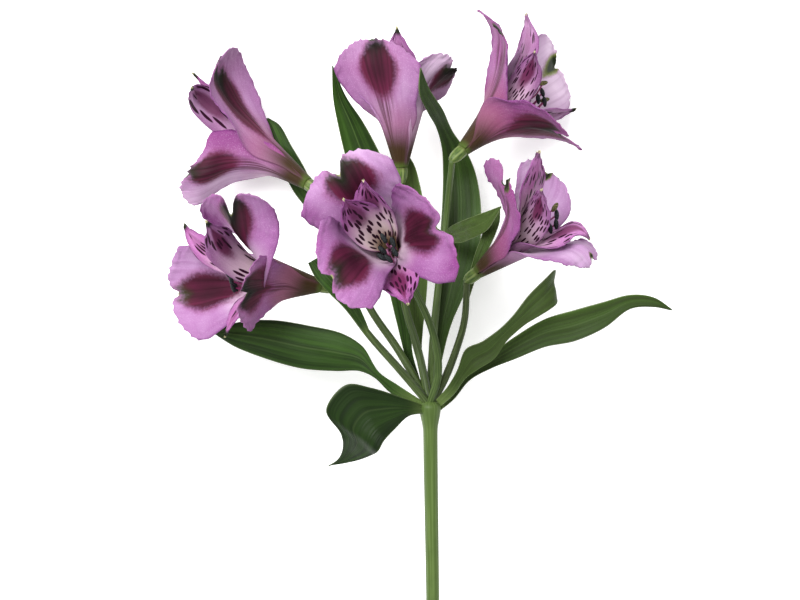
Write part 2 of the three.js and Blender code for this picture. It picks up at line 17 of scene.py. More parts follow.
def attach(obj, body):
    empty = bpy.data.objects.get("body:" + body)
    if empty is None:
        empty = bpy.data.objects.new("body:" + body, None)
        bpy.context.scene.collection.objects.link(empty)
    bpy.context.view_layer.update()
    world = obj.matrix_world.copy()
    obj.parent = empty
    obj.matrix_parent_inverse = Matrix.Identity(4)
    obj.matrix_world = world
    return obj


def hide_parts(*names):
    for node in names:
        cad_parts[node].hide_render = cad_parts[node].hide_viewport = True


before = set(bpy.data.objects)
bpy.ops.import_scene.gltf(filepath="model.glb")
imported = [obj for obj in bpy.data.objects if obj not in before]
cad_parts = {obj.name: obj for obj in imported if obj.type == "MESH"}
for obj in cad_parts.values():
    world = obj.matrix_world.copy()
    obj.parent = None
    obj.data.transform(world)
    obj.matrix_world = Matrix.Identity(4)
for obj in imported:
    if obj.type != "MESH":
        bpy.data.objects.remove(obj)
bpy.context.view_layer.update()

# %% [markdown]
# Flowers are easier to think of in millimetres, and from the node where all the flower stalks meet. So the
# formulas work in millimetres from that node, and `placed` turns a point into metres on the table. A petal
# that touches the table is pressed flat against it, which is what the `max` is for.

# %% Units and place
MM = 0.001
UMBEL_NODE = Vector((3.9, 18.1, 50))
TABLE_CLEARANCE = 0.2


def V(x, y, z):
    """A vector, under a short name because there are so many."""
    return Vector((x, y, z))


def placed(point):
    x, y, z = point + UMBEL_NODE
    return V(x, y, max(z, TABLE_CLEARANCE)) * MM


# %% [markdown]
# The camera looks straight down on the stem from 0.9 m above the node. The lens is worked out from what the
# picture takes in: 320 mm from side to side at the height of the node, on a sensor 36 mm wide.

# %% Camera
CAMERA_HEIGHT = 900.0
VIEW_CENTRE = (-12.0, 42.0)
VIEW_WIDTH = 320.0


def new_object(name, data):
    made = bpy.data.objects.new(name, data)
    bpy.context.collection.objects.link(made)
    return made


camera = new_object("camera", bpy.data.cameras.new("camera"))
camera.data.sensor_width = 36.0
camera.data.lens = camera.data.sensor_width * CAMERA_HEIGHT / VIEW_WIDTH
camera.location = placed(V(*VIEW_CENTRE, CAMERA_HEIGHT))
bpy.context.scene.camera = camera
print("lens", round(camera.data.lens, 1), "mm")

# %% [markdown]
# Petals look best in light that comes from everywhere, with one large soft lamp to give them form. The world
# is nearly white, the lamp is a big square high on the left, and the floor is a plain pale plane.

# %% Light and floor
WORLD_LIGHT = 0.75
LAMP_WATTS = 15.5
LAMP_SIZE = 0.6
LAMP_PLACE = (-0.35, 0.45, 0.9)
LAMP_AIM = (0.0, 0.1, 0.05)
FLOOR_REACH = 3.0
WHITE = (1.0, 1.0, 1.0, 1.0)

world = bpy.data.worlds.new("soft daylight")
world.use_nodes = True
sky = world.node_tree.nodes["Background"]
sky.inputs["Color"].default_value = WHITE
sky.inputs["Strength"].default_value = WORLD_LIGHT
bpy.context.scene.world = world
bpy.context.scene.view_settings.view_transform = "Standard"

lamp = new_object("lamp", bpy.data.lights.new("lamp", "AREA"))
lamp.data.energy = LAMP_WATTS
lamp.data.size = LAMP_SIZE
lamp.location = LAMP_PLACE
lamp.rotation_euler = (V(*LAMP_AIM) - lamp.location).to_track_quat("-Z", "Y").to_euler()

bm = bmesh.new()
bmesh.ops.create_grid(bm, x_segments=1, y_segments=1, size=FLOOR_REACH)
floor = new_object("floor", bpy.data.meshes.new("floor"))
bm.to_mesh(floor.data)
bm.free()
print("one lamp of", LAMP_WATTS, "watts over a floor", 2 * FLOOR_REACH, "m wide")

# %% [markdown]
# A petal's colour is a stack of layers: mauve, a paler heart, veins, a blotch, a green point. `Finish` is a
# small helper for that. Each of its methods adds a node to a material and returns that node's output, and
# arithmetic with an `Output` adds Math nodes, so a layer reads as one line. Colours are written as the hex
# codes that a paint chart gives, and turned into the linear values that Blender uses.

# %% A helper for materials


def hex_colour(code):
    channels = [int(code[i : i + 2], 16) / 255 for i in (0, 2, 4)]
    return (*[c / 12.92 if c <= 0.04045 else ((c + 0.055) / 1.055) ** 2.4 for c in channels], 1.0)


class Output:
    """A node's output: a number, vector or colour that may differ from point to point."""

    def __init__(self, finish, socket):
        self.finish = finish
        self.socket = socket
        self.node = socket.node

    def math(self, operation, other=0.0):
        made = self.finish.node("Math", {0: self, 1: other})
        made.node.operation = operation
        return made

    def __add__(self, other):
        return self.math("ADD", other)

    def __sub__(self, other):
        return self.math("SUBTRACT", other)

    def __mul__(self, other):
        return self.math("MULTIPLY", other)

    def __truediv__(self, other):
        return self.math("DIVIDE", other)

    def __abs__(self):
        return self.math("ABSOLUTE")


class Finish:
    def __init__(self, name, roughness, shine=0.2):
        self.material = bpy.data.materials.new(name)
        self.material.use_nodes = True
        self.tree = self.material.node_tree
        self.surface = self.tree.nodes["Principled BSDF"]
        self.surface.inputs["Roughness"].default_value = roughness
        self.surface.inputs["Specular IOR Level"].default_value = shine

    def put(self, socket, value):
        if isinstance(value, Output):
            self.tree.links.new(value.socket, socket)
        else:
            socket.default_value = hex_colour(value) if isinstance(value, str) else value

    def node(self, kind, inputs, output=0):
        """A new node of this kind, with its inputs set or linked. What comes back is one of its outputs."""
        made = self.tree.nodes.new("ShaderNode" + kind)
        for socket, value in inputs.items():
            self.put(made.inputs[socket], value)
        return Output(self, made.outputs[output])

    def step(self, value, start, end, height=1.0):
        """0 at start and height at end, with a soft rise between, also where start is higher than end."""
        output = self.node("MapRange", {0: value, 1: start, 2: end, 4: height})
        output.node.interpolation_type = "SMOOTHSTEP"
        return output

    def layer(self, share, under, over):
        """The colour over laid on the colour under, as strongly as share says."""
        output = self.node("Mix", {}, 2)
        output.node.data_type = "RGBA"
        for socket, value in ((0, share), (6, under), (7, over)):
            self.put(output.node.inputs[socket], value)
        return output

    def wash(self, under, over, value, start, end, strength=1.0):
        """The colour over laid on where value passes from start to end, as strongly as strength says."""
        return self.layer(self.step(value, start, end, strength), under, over)

    def vector(self, x, y, z=0.0):
        return self.node("CombineXYZ", {0: x, 1: y, 2: z})

    def parts(self, vector):
        """The three numbers of a vector or a colour."""
        return [Output(self, socket) for socket in self.node("SeparateXYZ", {0: vector}).node.outputs]

    def numbers(self, attribute):
        """The three numbers that a piece keeps under this name at each of its points."""
        output = self.node("Attribute", {}, "Vector")
        output.node.attribute_name = attribute
        return self.parts(output)

    def grain(self):
        """Where on the piece: across from -1 to 1, with 0 at the midrib, and along from 0 to 1."""
        output = self.node("UVMap", {})
        output.node.uv_map = "Grain"
        across, along, _ = self.parts(output)
        return across * 2.0 - 1.0, along

    def noise(self, vector, scale=1.0, detail=2.0):
        return self.node("TexNoise", {"Vector": vector, "Scale": scale, "Detail": detail})

    def object_noise(self, scale, detail=2.0):
        return self.noise(self.node("TexCoord", {}, "Object"), scale, detail)

    def bump(self, height, distance):
        normal = self.node("Bump", {"Height": height, "Distance": distance, "Strength": 1.0})
        self.put(self.surface.inputs["Normal"], normal)

    def paint(self, colour):
        self.put(self.surface.inputs["Base Color"], colour)
        print("made", self.material.name)
        return self.material


# %% [markdown]
# The floor is white paper: nearly white, rough, with a faint grain. It glows a little, like the top of a
# light table, which keeps the shadows under the petals soft.

# %% White paper
PAPER_GLOW = 0.35
paper = Finish("white paper", 0.9)
paper.surface.inputs["Emission Color"].default_value = WHITE
paper.surface.inputs["Emission Strength"].default_value = PAPER_GLOW
floor.data.materials.append(paper.paint(paper.layer(paper.object_noise(60.0), "F4F4F4", "F9F9F9")))

# %% [markdown]
# A petal's mauve is never even. It is deeper in some clouds and paler in others, fine veins run along it, it
# deepens towards its margin, and the cells of its skin sparkle as fine pale grains. `mauve` makes that
# ground, and the marks go on top of it.

# %% The mauve ground


def veins(finish, across, along, seed, fineness):
    """Long fine streaks that follow the petal from foot to tip, from 0 to 1."""
    return finish.noise(finish.vector(across * fineness, along * 0.9, seed * 7.0), detail=4.0)


def mauve(finish, paleness, side, along, fine, deep, pale):
    clouds = finish.object_noise(45.0, 3.0) * 1.8 - 0.9
    lightness = paleness + clouds
    colour = finish.layer(lightness, deep, pale)
    colour = finish.layer(lightness - 1.0, colour, "D9C2D8")
    colour = finish.wash(colour, "7A3F74", fine, 0.42, 0.75, 0.28)
    colour = finish.wash(colour, "763A74", side, 0.5, 1.0, finish.step(along, 0.35, 0.6, 0.45))
    colour = finish.wash(colour, "6E3270", side, 0.95, 1.0, 0.4)
    return finish.wash(colour, "E6C8E6", finish.object_noise(2400.0), 0.52, 0.72, 0.14)


# %% [markdown]
# Outer petals are broad, with a dark maroon blotch below the notch of the tip that turns green-black there.
# It lies elsewhere on every petal, so each petal keeps four sets of numbers as attributes. `mark` is the
# middle of the blotch along the petal, its half length and its half width. `stain` is how far it lies off the
# midrib, where its green-black part begins and how green that is. `mood` is a seed for the veins, how pale
# the petal is, and how far aside the blotch leans towards the tip. `sides` starts with painted light and
# shade:
# how much paler the petal is painted at its right margin than at its midrib, for the way light falls across
# it.
# Then it holds how strong the brown flush of its back is. The blotch is an ellipse in the petal's own UV map,
# and the veins and the skin's grain feather its edge. Both faces have it. The inner face has a pale heart
# below it, and on the back it runs on as brown lines down the midrib to the foot. Towards its foot the inner
# face darkens to brown-olive, which is partly the colour of the foot and partly painted shade deep in the
# throat.

# %% Outer petals
MARK_NAMES = ("mark", "stain", "mood", "sides")
BLOTCH_EDGE = 0.28


def blotch(finish, across, along, streaks, mark, aside, lean, edge):
    """How strongly a blotch shows, and how far out in it a point is. It narrows and leans towards the tip."""
    middle, half_length, half_width = mark
    down = (along - middle) / half_length
    past = down.math("MAXIMUM", 0.0)
    narrowing = past * past * 0.8 + 1.0
    centre = past * lean + aside
    off = (across - centre) * narrowing / half_width
    far = (down * down + off * off).math("SQRT")
    feather = (streaks - 0.5) * 0.25
    speckle = (finish.object_noise(900.0) - 0.5) * 0.25
    return finish.step(far + feather + speckle, 1.0 + edge, 1.0 - edge), far


def stain_colour(finish, along, side, fine, strength, far, stain):
    """Maroon, deeper in the middle, green-black from there to the notch, and purple where it fades out."""
    _, dark_from, greenness = stain
    maroon = finish.wash("571C36", "3A1022", fine, 0.35, 0.7)
    maroon = finish.wash(maroon, "200912", far, 0.9, 0.1, 0.7)
    green = finish.wash("1E2812", "7C8642", far, 0.45, 1.0)
    dark = finish.layer(greenness, "12110D", green)
    inside = finish.wash(maroon, dark, along - dark_from - side * 0.12, -0.08, 0.1)
    return finish.wash("74305A", inside, strength, 0.15, 0.85)


def pale_heart_and_throat_shade(finish, colour, side, along):
    colour = finish.wash(colour, "D3BFCB", along, 0.7, 0.4, finish.step(side, 1.3, 0.5, 0.75))
    # Darker towards the foot: partly the brown-olive of the petal's foot, partly painted shade deep in the
    # throat.
    return finish.wash(colour, "4C3E22", along, 0.34, 0.12, 0.85)


def brown_lines(finish, colour, side, along, fine, flush):
    colour = finish.wash(colour, "7E4857", along, 0.66, 0.32, flush)
    stripe_edge = finish.step(along, 0.2, 0.75, 0.34) + 0.14
    stripe = finish.step(side / stripe_edge, 1.15, 0.5) * finish.step(along, 0.88, 0.7, 0.8)
    return finish.wash(colour, "401C26", fine, 0.32, 0.54, stripe)


def dark_foot(finish, colour, side, along, fine):
    brown = finish.layer(fine, "2C1711", "40331B")
    colour = finish.wash(colour, brown, along, 0.4, 0.14, finish.step(side, 1.6, 0.7))
    return finish.wash(colour, "485A24", along, 0.07, 0.0)


def outer_petal(name, roughness, deep, pale, point, point_width, relief, is_back):
    finish = Finish(name, roughness, shine=0.1)
    across, along = finish.grain()
    side = abs(across)
    mark, stain, (seed, paleness, lean), (painted_side_shade, flush, _) = [finish.numbers(one) for one in MARK_NAMES]
    fine = veins(finish, across, along, seed, 11.0)
    # Painted light and shade: the petal's paleness changes from one margin to the other by its side shade,
    # for the way light falls across it.
    colour = mauve(finish, paleness + painted_side_shade * across, side, along, fine, deep, pale)
    if is_back:
        colour = brown_lines(finish, colour, side, along, fine, flush)
    else:
        colour = pale_heart_and_throat_shade(finish, colour, side, along)
    strength, far = blotch(finish, across, along, fine, mark, stain[0], lean, BLOTCH_EDGE)
    colour = finish.layer(strength, colour, stain_colour(finish, along, side, fine, strength, far, stain))
    if is_back:
        colour = dark_foot(finish, colour, side, along, fine)
    on_midrib = finish.step(side, point_width, point_width / 2)
    colour = finish.wash(colour, point, along, 0.985, 0.995, on_midrib)
    finish.bump(fine, relief)
    return finish.paint(colour)


# %% [markdown]
# Inner petals are narrow, with a pale cream heart, a maroon streak near the tip and dark dashes. The dashes
# are cells of a Voronoi texture. It is read in the petal's own coordinates, and a petal is much longer than
# it is wide, so a round cell becomes a dash along it. A share of the cells stays blank. For an inner petal
# `mark` is that share, how many dashes there are along it and how pale its heart is. `stain` starts with how
# dark its tip is, and `mood` ends with how strong the streak is.

# %% Inner petals
# The streak's middle, half length and half width, and how soft its edge is.
STREAK = (0.78, 0.17, 0.4)
STREAK_EDGE = 0.35


def dashes(finish, across, along, seed, blank, dashes_along):
    place = finish.vector(across * dashes_along * 0.65 + seed * 40.0, along * dashes_along + seed * 90.0)
    cells = finish.node("TexVoronoi", {"Vector": place, "Scale": 1.0, "Randomness": 0.75})
    cells.node.voronoi_dimensions = "2D"
    present, _, _ = finish.parts(Output(finish, cells.node.outputs["Color"]))
    return finish.step(cells, 0.36, 0.27) * present.math("GREATER_THAN", blank)


def inner_petal(name, deep, pale, heart_strength):
    finish = Finish(name, 0.5, shine=0.1)
    across, along = finish.grain()
    side = abs(across)
    mark, stain, mood = [finish.numbers(one) for one in MARK_NAMES[:3]]
    blank, dashes_along, heart = mark
    seed, paleness, streak = mood
    fine = veins(finish, across, along, seed, 8.0)
    colour = mauve(finish, paleness, side, along, fine, deep, pale)
    heart = heart * heart_strength
    colour = finish.wash(colour, "EEE2DC", along, 0.78, 0.46, finish.step(side, 1.3, 0.5, heart))
    colour = finish.wash(colour, "A89A62", along, 0.55, 0.22, heart)
    strength, _ = blotch(finish, across, along, fine, STREAK, 0.0, 0.0, STREAK_EDGE)
    colour = finish.layer(strength * streak, colour, "571A3C")
    drawn = dashes(finish, across, along, seed, blank, dashes_along)
    drawn = drawn * finish.step(along, 0.2, 0.28) * finish.step(along, 0.92, 0.86)
    colour = finish.wash(colour, "2B0A20", side, 0.99, 0.9, drawn)
    colour = finish.wash(colour, "22261A", along, 0.94, 0.97, stain[0])
    colour = finish.wash(colour, "B9B48C", along, 0.993, 1.0)
    finish.bump(fine, 0.00025)
    return finish.paint(colour)


PETAL_FINISHES = [
    outer_petal("outer petal, back", 0.55, "824076", "A07A9F", "2F3F1E", 0.08, 0.0004, is_back=True),
    outer_petal("outer petal, inner face", 0.5, "833F7D", "A983AB", "7A7C55", 0.06, 0.00025, is_back=False),
    inner_petal("inner petal, back", "783A70", "9A6B94", 0.3),
    inner_petal("inner petal, inner face", "863C78", "B078AA", 1.0),
]

# %% [markdown]
# Every petal, leaf and stalk starts as a flat grid from `create_grid`, which runs from -1 to 1 both ways. The
# grid's own coordinates are kept as a UV map called Grain, and then each point is moved to where the formula
# wants it. A grid with its two long sides welded together and its ends filled is a tube. `finished` turns the
# mesh into a piece, rides it on the root body, and hides the plain solids that it stands for.

# %% Grids that become petals and tubes
WELD = 0.00001


def dressed_faces(corners, material):
    """The faces at these corners, once they are smooth and have one of the piece's finishes."""
    faces = {face for corner in corners for face in corner.link_faces}
    for face in faces:
        face.smooth = True
        face.material_index = material
    return faces


def add_grid(bm, grid, point_at, material=0, numbers=None, tube=False):
    """point_at(u, t) is a point in millimetres, for u from -1 to 1 across and t from 0 to 1 along."""
    columns, rows = grid
    uv = bm.loops.layers.uv.get("Grain") or bm.loops.layers.uv.new("Grain")
    layers = {
        key: bm.verts.layers.float_vector.get(key) or bm.verts.layers.float_vector.new(key)
        for key in numbers or {}
    }
    corners = bmesh.ops.create_grid(bm, x_segments=columns, y_segments=rows, size=1.0)["verts"]
    for face in dressed_faces(corners, material):
        for loop in face.loops:
            x, y, _ = loop.vert.co
            loop[uv].uv = ((x + 1) / 2, (y + 1) / 2)
    for corner in corners:
        u, t = corner.co.x, (corner.co.y + 1) / 2
        corner.co = placed(point_at(u, t))
        for key, layer in layers.items():
            corner[layer] = numbers[key]
    if tube:
        bmesh.ops.remove_doubles(bm, verts=corners, dist=WELD)
        open_edges = [edge for edge in bm.edges if edge.is_boundary]
        caps = bmesh.ops.holes_fill(bm, edges=open_edges, sides=columns)["faces"]
        for cap in caps:
            cap.material_index = material


def finished(bm, name, finishes, nodes, thickness=0.0):
    mesh = bpy.data.meshes.new(name)
    bm.to_mesh(mesh)
    bm.free()
    for finish in finishes:
        mesh.materials.append(finish)
    piece = new_object(name, mesh)
    if thickness:
        wall = piece.modifiers.new("thickness", "SOLIDIFY")
        wall.thickness = thickness * MM
        wall.offset = 0.0
        wall.material_offset = 1
    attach(piece, "root")
    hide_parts(*nodes)
    print(name, len(mesh.vertices), "points")


# %% [markdown]
# A petal leaves the throat of the flower as a narrow claw that wraps the tube, then bends outwards and
# broadens into its blade. Its numbers are the same as in the solid model: where its foot is seated and which
# way it turns, how far it leans and flares, how it folds, twists and curls.

# %% The shape of a petal
MIDRIB_STEPS = 60


def lerp(low, high, share):
    return low + (high - low) * share


def smoothstep(value, start, end):
    share = min(max((value - start) / (end - start), 0.0), 1.0)
    return share * share * (3 - 2 * share)


def claw(t):
    """The claws are a little broader than in the solids, so that they close the tube."""
    return 1 + 0.45 * smoothstep(t, 0.0, 0.12) * (1 - smoothstep(t, 0.35, 0.65))


def spoon_outline(u, t, petal):
    """The half width at t, as a share of the widest, and the length at u, as a share of the midrib's."""
    width = lerp(0.15, 1, smoothstep(t, 0.05, petal.broad_at)) * (1 - 0.07 * smoothstep(t, 0.85, 1))
    notch = petal.notch * math.exp(-((u / 0.13) ** 2))
    return width * claw(t), 1 + petal.slant * u - 0.2 * abs(u) ** 2.6 - notch


def lance_outline(u, t, petal):
    width = lerp(0.14, 1, smoothstep(t, 0.1, 0.66)) * (1 - smoothstep(t, 0.66, 1.04) ** 1.3)
    return width * claw(t), 1.0


def midrib(petal):
    """A function that gives the midrib's distance from the axis, height and slope at each share of it."""
    steps = MIDRIB_STEPS
    lean, flare, curl = petal.lean, petal.flare, petal.curl

    def slope_at(s):
        bend = lerp(lean, flare, smoothstep(s, petal.bend_from, 1))
        return math.radians(bend + curl * smoothstep(s, 0.7, 1))

    table = [(petal.start, 0.0)]
    for step in range(int(steps * 1.1)):
        slope = slope_at((step + 0.5) / steps)
        radius, height = table[-1]
        along = petal.length / steps
        table.append((radius + along * math.sin(slope), height + along * math.cos(slope)))

    def rib(s):
        step = min(max(int(s * steps), 0), len(table) - 2)
        share = s * steps - step
        (radius_0, height_0), (radius_1, height_1) = table[step], table[step + 1]
        return lerp(radius_0, radius_1, share), lerp(height_0, height_1, share), slope_at(s)

    return rib


# %% [markdown]
# The solids stop at broad waves, because each of their petals is only a few faces. Here the margins also get
# the fine crinkle of a real petal, from Perlin noise that is strongest at the very edge, and each petal reads
# that noise at its own seed.

# %% The surface of a petal
WRAP = 0.85
CRINKLE = 0.8
WAVER = 0.6
RAGGED = 0.022


def crinkle(u, t, seed):
    """How far a petal stands proud of its smooth shape, in millimetres."""
    margin = max(abs(u) ** 5, smoothstep(t, 0.85, 1.0)) * smoothstep(t, 0.4, 0.75)
    fine = noise.noise(V(u * 11, t * 20, seed * 31))
    broad = noise.noise(V(u * 2.5, t * 5, seed * 17))
    return CRINKLE * fine * margin + WAVER * broad * smoothstep(t, 0.4, 0.8)


def petal_surface(flower, petal):
    axis, back, side = flower.axis, flower.back, flower.side
    rib = midrib(petal)
    fold_angle, twist_angle = math.radians(petal.fold), math.radians(petal.twist)

    def point_at(u, t):
        azimuth = math.radians(lerp(petal.seat, petal.azimuth, smoothstep(t, 0.05, 0.4)))
        out = back * math.cos(azimuth) + side * math.sin(azimuth)
        across = axis.cross(out)
        width, reach = petal.outline(u, t, petal)
        ragged = 1 + RAGGED * noise.noise(V(u * 14, t * 16, petal.seed * 53)) * smoothstep(t, 0.5, 0.8)
        s = t * reach * ragged
        radius, height, slope = rib(s)
        blade_share = smoothstep(t, 0.3, 0.75)
        bend = lerp(WRAP / radius, petal.cup, blade_share)
        x = u * width * petal.half_width * ragged
        lateral = math.sin(bend * x) / bend
        inward = (1 - math.cos(bend * x)) / bend
        fold = fold_angle * blade_share
        inward += abs(lateral) * math.sin(fold)
        lateral *= math.cos(fold)
        ripple = math.sin(2 * math.pi * 1.6 * t + (2 if u > 0 else 0))
        inward += petal.wave * abs(u) ** 3 * ripple * smoothstep(t, 0.35, 0.8)
        inward += crinkle(u, t, petal.seed)
        twist = twist_angle * smoothstep(t, 0.3, 1)
        turned = lateral * math.cos(twist) - inward * math.sin(twist)
        inward = lateral * math.sin(twist) + inward * math.cos(twist)
        sideways = turned + petal.sway * petal.length * s * s
        outwards = out * math.cos(slope) - axis * math.sin(slope)
        return flower.base + out * radius + axis * height + across * sideways - outwards * inward

    return point_at


# %% [markdown]
# Six flowers, each with three outer and three inner petals. A flower starts with the place of its foot, the
# way its axis points and the way its back faces, then its stamens' length and how far they droop towards its
# lower side. A row gives a petal's numbers in the order of `OUTER_COLUMNS` or `INNER_COLUMNS`.

# %% The six flowers
OUTER_COLUMNS = """
    seat azimuth lean flare bend_from curl length half_width twist fold sway notch slant broad_at
""".split()
INNER_COLUMNS = """
    seat azimuth start lean flare bend_from curl length half_width twist fold sway
""".split()
OUTER = {"start": 2.5, "cup": 0.01, "wave": 0.9, "outline": spoon_outline}
INNER = {"cup": 0.03, "wave": 0.3, "outline": lance_outline}


def outer(*row):
    return SimpleNamespace(**OUTER, **dict(zip(OUTER_COLUMNS, row)))


def inner(*row):
    return SimpleNamespace(**INNER, **dict(zip(INNER_COLUMNS, row)))


def bloom(name, base, axis, back, stamen_length, droop, *petals):
    """back is made square to the axis, and side is square to both."""
    axis = axis.normalized()
    back = (back - axis * back.dot(axis)).normalized()
    return SimpleNamespace(
        name=name, base=base, axis=axis, back=back, side=axis.cross(back),
        stamen_length=stamen_length, droop=droop, petals=petals,
    )


FLOWERS = [
    bloom(
        "1", V(-49.6, 89.4, -19), V(-0.75, 0.56, -0.36), V(0.45, 0.745, 0.4), 40, 3,
        outer(0, -12, 9, 66, 0.48, 41, 74, 19.5, 13, -20, -0.04, 0.1, 0.01, 1.1),
        outer(-120, -112, 9, 83, 0.16, -63, 51.5, 19, 27, 21, -0.21, 0.02, -0.08, 1.25),
        outer(120, 131, 9, 30, 0.34, -15, 57.5, 11.5, -24, 11, 0.03, 0.04, 0, 0.95),
        inner(60, 56, 1.4, 8, -2, 0.16, 7, 73.5, 5, 0, 6, -0.06),
        inner(-60, -70, 0.9, 6, 73, 0.36, 36, 72, 8, 9, 22, 0.08),
        inner(180, 177, 1.4, 8, 30, 0.32, -3, 51.5, 7.5, 0, 6, 0),
    ),
    bloom(
        "2", V(-11.6, 95.4, -4), V(0, 0.98, 0.22), V(-0.5, 0.2, 0.8), 38, 3,
        outer(0, -1, 15, 6, 0.14, -12, 53, 21, 12, -2, -0.12, 0, 0.03, 1.1),
        outer(120, 121, 15, 59, 0.5, -6, 47, 16, -40, 9, 0.05, 0.06, -0.06, 1.2),
        outer(-120, -92, 15, 60, 0.38, 15, 52.5, 13, 5, -13, -0.07, 0.13, -0.03, 0.95),
        inner(60, 34, 1.75, 9, -2, 0.3, -10, 57, 8.5, 0, 6, -0.03),
        inner(-60, -29, 0.9, 6, 27, 0.32, 2, 47, 7.5, 0, 6, 0.01),
        inner(180, 206, 1.4, 8, 63, 0.24, 15, 50.5, 7.5, 0, 6, 0.04),
    ),
    bloom(
        "3", V(13.2, 102.5, -9), V(0.69, 0.66, -0.29), V(-0.56, 0.8, 0.1), 42, 7,
        outer(27, 20, 12, 54, 0.1, 62, 62, 19.5, -22, -10, -0.05, 0.12, -0.05, 1.2),
        outer(147, 138, 12, 76, 0.08, 20, 48, 15.5, 15, 8, 0.08, 0.16, 0.08, 0.65),
        outer(-93, -96, 12, 49, 0.58, 3, 74.5, 18, 22, 9, -0.02, 0.06, 0.03, 0.95),
        inner(-33, -13, 1.75, 9, 39, 0.48, 14, 67.5, 10, 33, -6, 0.01),
        inner(87, 57, 0.9, 6, 74, 0.18, 20, 56.5, 6.5, 3, 11, 0.09),
        inner(207, 167, 1.4, 8, 38, 0.04, -12, 51.5, 7.5, -10, -12, 0),
    ),
    bloom(
        "4", V(-43.7, 47.6, 8), V(-0.93, 0.15, 0.35), V(0.1, 0.95, 0.2), 35, 4,
        outer(0, -31, 14, 77, 0.22, -15, 69, 18.5, 66, -23, -0.07, 0.16, -0.04, 0.8),
        outer(120, 121, 14, 61, -0.22, -21, 64, 22.5, -21, 19, -0.04, 0.05, -0.02, 1.1),
        outer(-120, -91, 14, 52, -0.12, -5, 52, 19, 7, -13, -0.07, 0.15, -0.02, 1.35),
        inner(60, 55, 1.75, 9, 72, 0.38, 10, 65, 6, 16, 3, 0.13),
        inner(-60, -48, 0.9, 6, 61, 0.14, -7, 69, 7.5, -57, 9, 0),
        inner(180, 191, 1.4, 8, 72, 0.2, 3, 47.5, 7.5, -6, -1, 0.04),
    ),
    bloom(
        "5", V(-13.6, 59.1, 26), V(-0.23, 0.23, 0.94), V(-0.62, 0.78, 0), 36, 11,
        outer(0, -8, 12, 50, 0.26, 34, 56.5, 25, -11, -1, 0, 0.1, -0.02, 1.25),
        outer(120, 106, 12, 79, 0.58, -13, 63.5, 21.5, -16, -3, 0.07, 0.06, 0.11, 1.15),
        outer(-120, -129, 12, 64, 0.14, -24, 57, 24.5, 30, 3, -0.02, 0.13, -0.07, 1.25),
        inner(-60, -39, 1.75, 9, 30, 0.24, -16, 54, 8, -15, 0, 0.01),
        inner(60, 10, 0.9, 6, 23, 0.22, -14, 54, 8, -14, -4, -0.02),
        inner(180, 169, 1.4, 9, 67, -0.04, -6, 52.8, 9, -22, -4, 0),
    ),
    bloom(
        "6", V(18.9, 53.1, 10), V(0.73, 0.56, 0.39), V(-0.56, 0.8, 0), 37, 1,
        outer(40, 25, 12, 81, 0.22, -46, 47.5, 17.5, 27, -8, -0.02, 0.13, -0.09, 1.2),
        outer(160, 176, 12, 35, 0.32, 68, 53, 15.5, 13, -15, -0.02, 0.05, -0.05, 0.95),
        outer(-80, -64, 12, 80, 0.06, 2, 56.5, 14, -13, 11, -0.01, 0.05, 0.04, 0.95),
        inner(-20, 10, 1.75, 9, 42, 0.2, 2, 57.5, 9.5, -34, -11, 0.03),
        inner(100, 64, 0.9, 6, 50, 0.2, 7, 56, 7.5, 4, 10, 0),
        inner(220, 178, 1.4, 8, 69, 0.76, 27, 52.5, 9.5, 35, -24, -0.03),
    ),
]
print(len(FLOWERS), "flowers with", sum(len(flower.petals) for flower in FLOWERS), "petals")

# %% [markdown]
# How each petal is marked, in the order of the petals above. An outer row holds the numbers of `mark`,
# `stain`, `mood` and `sides` one after another, without the seed. An inner row gives the share of blank
# cells, the dashes along the petal, how pale its heart is, how dark its tip is, how strong its streak is, and
# how pale the whole petal is.

# %% Marks
OUTER_MARKS = {
    "1": [
        (0.7, 0.33, 0.5, 0, 0.75, 0.05, 0.8, -0.35, 0, 0.5),
        (0.8, 0.22, 0.48, 0.1, 0.88, 0.05, 0.9, 0.05, -0.9, 0.3),
        (0.8, 0.2, 0.4, 0, 0.86, 0.1, 0.5, 0, 0, 0.6),
    ],
    "2": [
        (0.79, 0.23, 0.5, 0.05, 0.87, 0, 0.75, 0.05, 0, 0.45),
        (0.88, 0.2, 0.5, 0.2, 0.84, 0.05, 1.5, 0, 0, 0.4),
        (0.8, 0.2, 0.4, 0, 0.86, 0.1, 1, 0, 0, 0.4),
    ],
    "3": [
        (0.97, 0.07, 0.25, 0.5, 0.85, 0.2, 0.1, 0, 0, 0.65),
        (0.7, 0.26, 0.6, 0, 0.78, 0.05, 0.3, 0.1, 0, 0.7),
        (0.93, 0.16, 0.24, 0.1, 0.75, 1, 1.7, 0, 0, 0.6),
    ],
    "4": [
        (0.82, 0.23, 0.42, -0.05, 0.85, 0, 0.35, 0, 0, 0.6),
        (0.73, 0.27, 0.5, 0, 0.88, 0.15, 0.8, 0, 0, 0.6),
        (0.8, 0.23, 0.75, 0.1, 0.82, 0, 0.45, 0, 0, 0.8),
    ],
    "5": [
        (0.84, 0.18, 0.55, -0.15, 0.86, 0.05, 0.75, 0.1, -0.6, 0.6),
        (0.75, 0.25, 0.56, 0.08, 0.86, 0.05, 0.4, -0.05, 0, 0.6),
        (0.7, 0.23, 0.6, 0.05, 0.84, 0.05, 0.3, 0, 0, 0.6),
    ],
    "6": [
        (0.95, 0.09, 0.2, 0.2, 0.8, 0.4, 0.15, 0, 0, 0.5),
        (1, 0.05, 0.1, 0, 0.9, 0.5, 1, 0, 0, 0.2),
        (0.99, 0.08, 0.2, 0, 0.85, 0.5, 1.2, 0, 0, 0.1),
    ],
}
